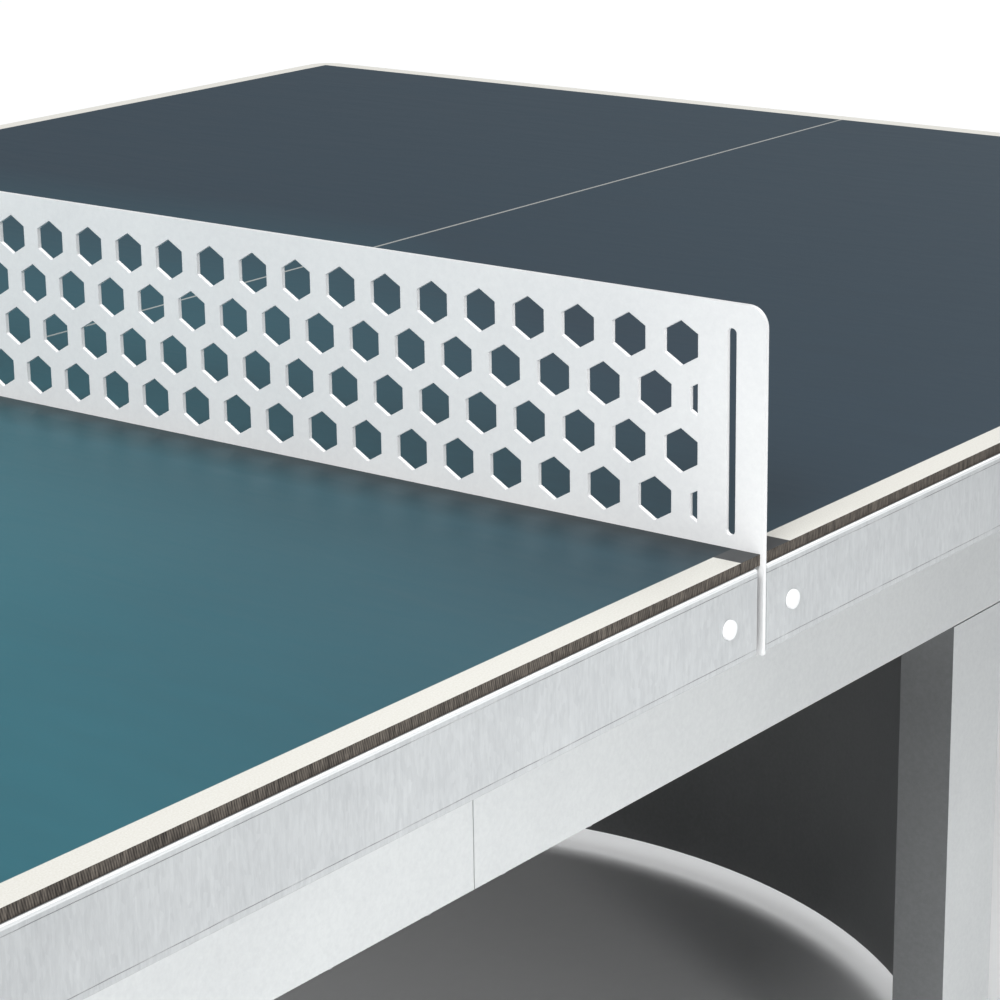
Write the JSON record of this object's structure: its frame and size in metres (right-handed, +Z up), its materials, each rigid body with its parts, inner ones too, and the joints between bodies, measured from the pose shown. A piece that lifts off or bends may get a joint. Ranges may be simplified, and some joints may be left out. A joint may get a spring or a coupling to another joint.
{
  "type": "outdoor ping pong table",
  "caption": "Fixed outdoor table tennis table: split blue laminate top, white steel net plate with hexagonal holes, galvanised apron, grey sheet base with curved end walls.",
  "frame": {"origin": "on the floor under the middle of the net, at the middle of the table's footprint", "axes": "+X along the table's length, +Y across it along the net, +Z up"},
  "size_m": [2.746, 1.538, 0.9125],
  "materials": {
    "laminate": "semi-matt painted laminate",
    "galvanised": "galvanised, faint spangle",
    "white_paint": "fine powder coat",
    "grey_paint": "smooth satin powder coat",
    "dark_grey_paint": "satin powder coat, darker than the fascias",
    "black_plastic": "matt moulded",
    "black_paint": "satin",
    "zinc_bolt": "zinc plated",
    "black_rubber": "matt"
  },
  "bodies": {
    "table": {"tabletop_left": "laminate", "apron_end_left": "galvanised", "net_rail_left": "galvanised", "inner_beam_left": "galvanised", "outer_beam_left": "galvanised", "end_beam_left": "galvanised", "end_wall_left": "dark_grey_paint", "apron_side_near_left": "galvanised", "apron_corner_near_left": "galvanised", "side_fascia_near_left": "grey_paint", "post_near_left": "grey_paint", "post_shoe_near_left": "black_plastic", "anchor_bracket_near_left": "black_paint", "nut_plate_near_left": "zinc_bolt", "apron_side_far_left": "galvanised", "apron_corner_far_left": "galvanised", "side_fascia_far_left": "grey_paint", "post_far_left": "grey_paint", "post_shoe_far_left": "black_plastic", "anchor_bracket_far_left": "black_paint", "nut_plate_far_left": "zinc_bolt", "tabletop_right": "laminate", "apron_end_right": "galvanised", "net_rail_right": "galvanised", "inner_beam_right": "galvanised", "outer_beam_right": "galvanised", "end_beam_right": "galvanised", "end_wall_right": "dark_grey_paint", "apron_side_near_right": "galvanised", "apron_corner_near_right": "galvanised", "side_fascia_near_right": "grey_paint", "post_near_right": "grey_paint", "post_shoe_near_right": "black_plastic", "anchor_bracket_near_right": "black_paint", "nut_plate_near_right": "zinc_bolt", "apron_side_far_right": "galvanised", "apron_corner_far_right": "galvanised", "side_fascia_far_right": "grey_paint", "post_far_right": "grey_paint", "post_shoe_far_right": "black_plastic", "anchor_bracket_far_right": "black_paint", "nut_plate_far_right": "zinc_bolt", "apron_bolts_near": "white_paint", "splice_plate_near": "grey_paint", "apron_bolts_far": "white_paint", "splice_plate_far": "grey_paint", "base_bolts": "zinc_bolt", "splice_bolts": "zinc_bolt", "net_packer": "black_rubber", "net_clamp_bolts": "zinc_bolt", "net_plate": "white_paint"},
    "pad_near_left": {"foot_pad_near_left": "black_rubber"},
    "stem_near_left": {"foot_stem_near_left": "zinc_bolt"},
    "pad_far_left": {"foot_pad_far_left": "black_rubber"},
    "stem_far_left": {"foot_stem_far_left": "zinc_bolt"},
    "pad_near_right": {"foot_pad_near_right": "black_rubber"},
    "stem_near_right": {"foot_stem_near_right": "zinc_bolt"},
    "pad_far_right": {"foot_pad_far_right": "black_rubber"},
    "stem_far_right": {"foot_stem_far_right": "zinc_bolt"}
  },
  "joints": [
    {"name": "foot_lower_near_left", "type": "slide", "parent": "table", "child": "pad_near_left", "axis": [0, 0, -1], "range_m": [0, 0.02]},
    {"name": "foot_screw_near_left", "type": "hinge", "parent": "pad_near_left", "child": "stem_near_left", "pos_m": [-0.698, -0.512, 0.04], "axis": [0, 0, -1], "range_deg": [0, 4115]},
    {"name": "foot_lower_far_left", "type": "slide", "parent": "table", "child": "pad_far_left", "axis": [0, 0, -1], "range_m": [0, 0.02]},
    {"name": "foot_screw_far_left", "type": "hinge", "parent": "pad_far_left", "child": "stem_far_left", "pos_m": [-0.698, 0.512, 0.04], "axis": [0, 0, -1], "range_deg": [0, 4115]},
    {"name": "foot_lower_near_right", "type": "slide", "parent": "table", "child": "pad_near_right", "axis": [0, 0, -1], "range_m": [0, 0.02]},
    {"name": "foot_screw_near_right", "type": "hinge", "parent": "pad_near_right", "child": "stem_near_right", "pos_m": [0.698, -0.512, 0.04], "axis": [0, 0, -1], "range_deg": [0, 4115]},
    {"name": "foot_lower_far_right", "type": "slide", "parent": "table", "child": "pad_far_right", "axis": [0, 0, -1], "range_m": [0, 0.02]},
    {"name": "foot_screw_far_right", "type": "hinge", "parent": "pad_far_right", "child": "stem_far_right", "pos_m": [0.698, 0.512, 0.04], "axis": [0, 0, -1], "range_deg": [0, 4115]}
  ],
  "couplings": [
    {"joint": "foot_screw_near_left", "follows": "foot_lower_near_left", "rad_per_m": 3590.4},
    {"joint": "foot_screw_far_left", "follows": "foot_lower_far_left", "rad_per_m": 3590.4},
    {"joint": "foot_screw_near_right", "follows": "foot_lower_near_right", "rad_per_m": 3590.4},
    {"joint": "foot_screw_far_right", "follows": "foot_lower_far_right", "rad_per_m": 3590.4}
  ]
}
